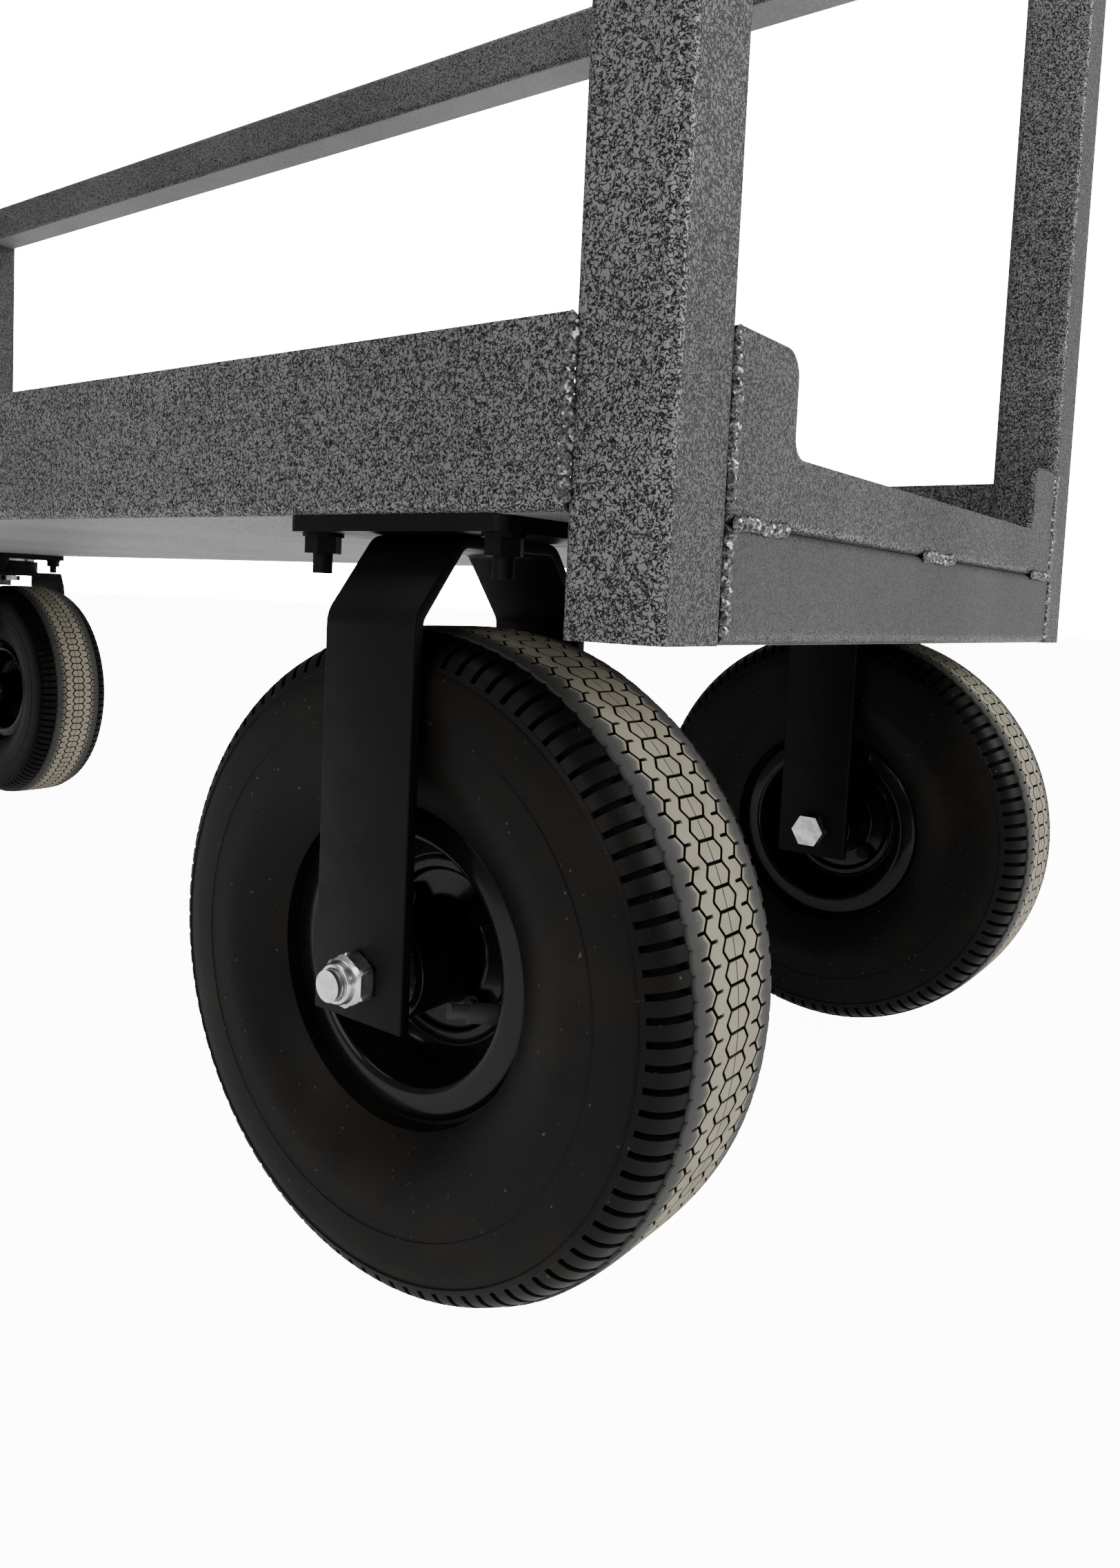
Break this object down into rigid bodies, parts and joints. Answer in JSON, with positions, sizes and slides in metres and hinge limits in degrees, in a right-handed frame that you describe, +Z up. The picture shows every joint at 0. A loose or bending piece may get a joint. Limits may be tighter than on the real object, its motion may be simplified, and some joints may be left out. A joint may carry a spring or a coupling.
{
  "type": "tow behind cart",
  "caption": "Low flat tray cart with corner posts and top rails on pneumatic casters, rigid at the rear and swivelling at the front, towed by a hinged drawbar.",
  "frame": {"origin": "on the ground at the middle of the box round the whole cart, drawbar level", "axes": "+X is the towing direction, along the drawbar; +Y is the cart's left; +Z is up"},
  "size_m": [2.12, 0.548, 0.77],
  "materials": {
    "hammered_grey": "dark grey hammered powder coat with silvery veins",
    "black_steel": "satin black powder coat",
    "zinc": "bright zinc plate",
    "tyre": "black rubber, dusty tan on the tread",
    "valve_rubber": "plain black rubber",
    "cap_plastic": "matte black moulded plastic"
  },
  "bodies": {
    "cart": {"tray": "hammered_grey", "rear_tube": "hammered_grey", "front_tube": "hammered_grey", "post_rear_left": "hammered_grey", "post_rear_right": "hammered_grey", "post_front_left": "hammered_grey", "post_front_right": "hammered_grey", "top_rail_left": "hammered_grey", "top_rail_right": "hammered_grey", "top_rail_front": "hammered_grey", "frame_welds": "hammered_grey", "drawbar_lugs": "hammered_grey", "post_caps": "cap_plastic", "plate_rear_left": "black_steel", "plate_rear_right": "black_steel", "plate_front_left": "black_steel", "plate_front_right": "black_steel", "fork_rear_left": "black_steel", "fork_rear_right": "black_steel", "caster_bolts": "black_steel", "caster_washers": "black_steel", "caster_nuts": "black_steel", "kingpins": "zinc", "swivel_rings": "zinc", "axle_bolts_rear": "zinc", "axle_nuts_rear": "zinc", "axle_sleeves_rear": "zinc", "drawbar_bolt": "zinc", "drawbar_nut": "zinc"},
    "swivel_left": {"fork_front_left": "black_steel", "axle_bolt_front_left": "zinc", "axle_nut_front_left": "zinc", "axle_sleeve_front_left": "zinc"},
    "swivel_right": {"fork_front_right": "black_steel", "axle_bolt_front_right": "zinc", "axle_nut_front_right": "zinc", "axle_sleeve_front_right": "zinc"},
    "wheel_rear_left": {"tyre_rear_left": "tyre", "rim_rear_left": "black_steel", "bearings_rear_left": "zinc", "valve_rear_left": "valve_rubber", "rim_bolts_rear_left": "zinc"},
    "wheel_rear_right": {"tyre_rear_right": "tyre", "rim_rear_right": "black_steel", "bearings_rear_right": "zinc", "valve_rear_right": "valve_rubber", "rim_bolts_rear_right": "zinc"},
    "wheel_front_left": {"tyre_front_left": "tyre", "rim_front_left": "black_steel", "bearings_front_left": "zinc", "valve_front_left": "valve_rubber", "rim_bolts_front_left": "zinc"},
    "wheel_front_right": {"tyre_front_right": "tyre", "rim_front_right": "black_steel", "bearings_front_right": "zinc", "valve_front_right": "valve_rubber", "rim_bolts_front_right": "zinc"},
    "drawbar": {"drawbar": "hammered_grey", "hitch_straps": "hammered_grey"}
  },
  "joints": [
    {"name": "rear_left_spin", "type": "hinge", "parent": "cart", "child": "wheel_rear_left", "pos_m": [-0.926, 0.206, 0.134], "axis": [0, 1, 0], "continuous": true},
    {"name": "rear_right_spin", "type": "hinge", "parent": "cart", "child": "wheel_rear_right", "pos_m": [-0.926, -0.206, 0.134], "axis": [0, 1, 0], "continuous": true},
    {"name": "front_left_swivel", "type": "hinge", "parent": "cart", "child": "swivel_left", "pos_m": [0.246, 0.206, 0.29], "axis": [0, 0, 1], "continuous": true},
    {"name": "front_left_spin", "type": "hinge", "parent": "swivel_left", "child": "wheel_front_left", "pos_m": [0.206, 0.206, 0.134], "axis": [0, 1, 0], "continuous": true},
    {"name": "front_right_swivel", "type": "hinge", "parent": "cart", "child": "swivel_right", "pos_m": [0.246, -0.206, 0.29], "axis": [0, 0, 1], "continuous": true},
    {"name": "front_right_spin", "type": "hinge", "parent": "swivel_right", "child": "wheel_front_right", "pos_m": [0.206, -0.206, 0.134], "axis": [0, 1, 0], "continuous": true},
    {"name": "drawbar_tilt", "type": "hinge", "parent": "cart", "child": "drawbar", "pos_m": [0.398, 0, 0.288], "axis": [0, -1, 0], "range_deg": [-20, 85]}
  ]
}
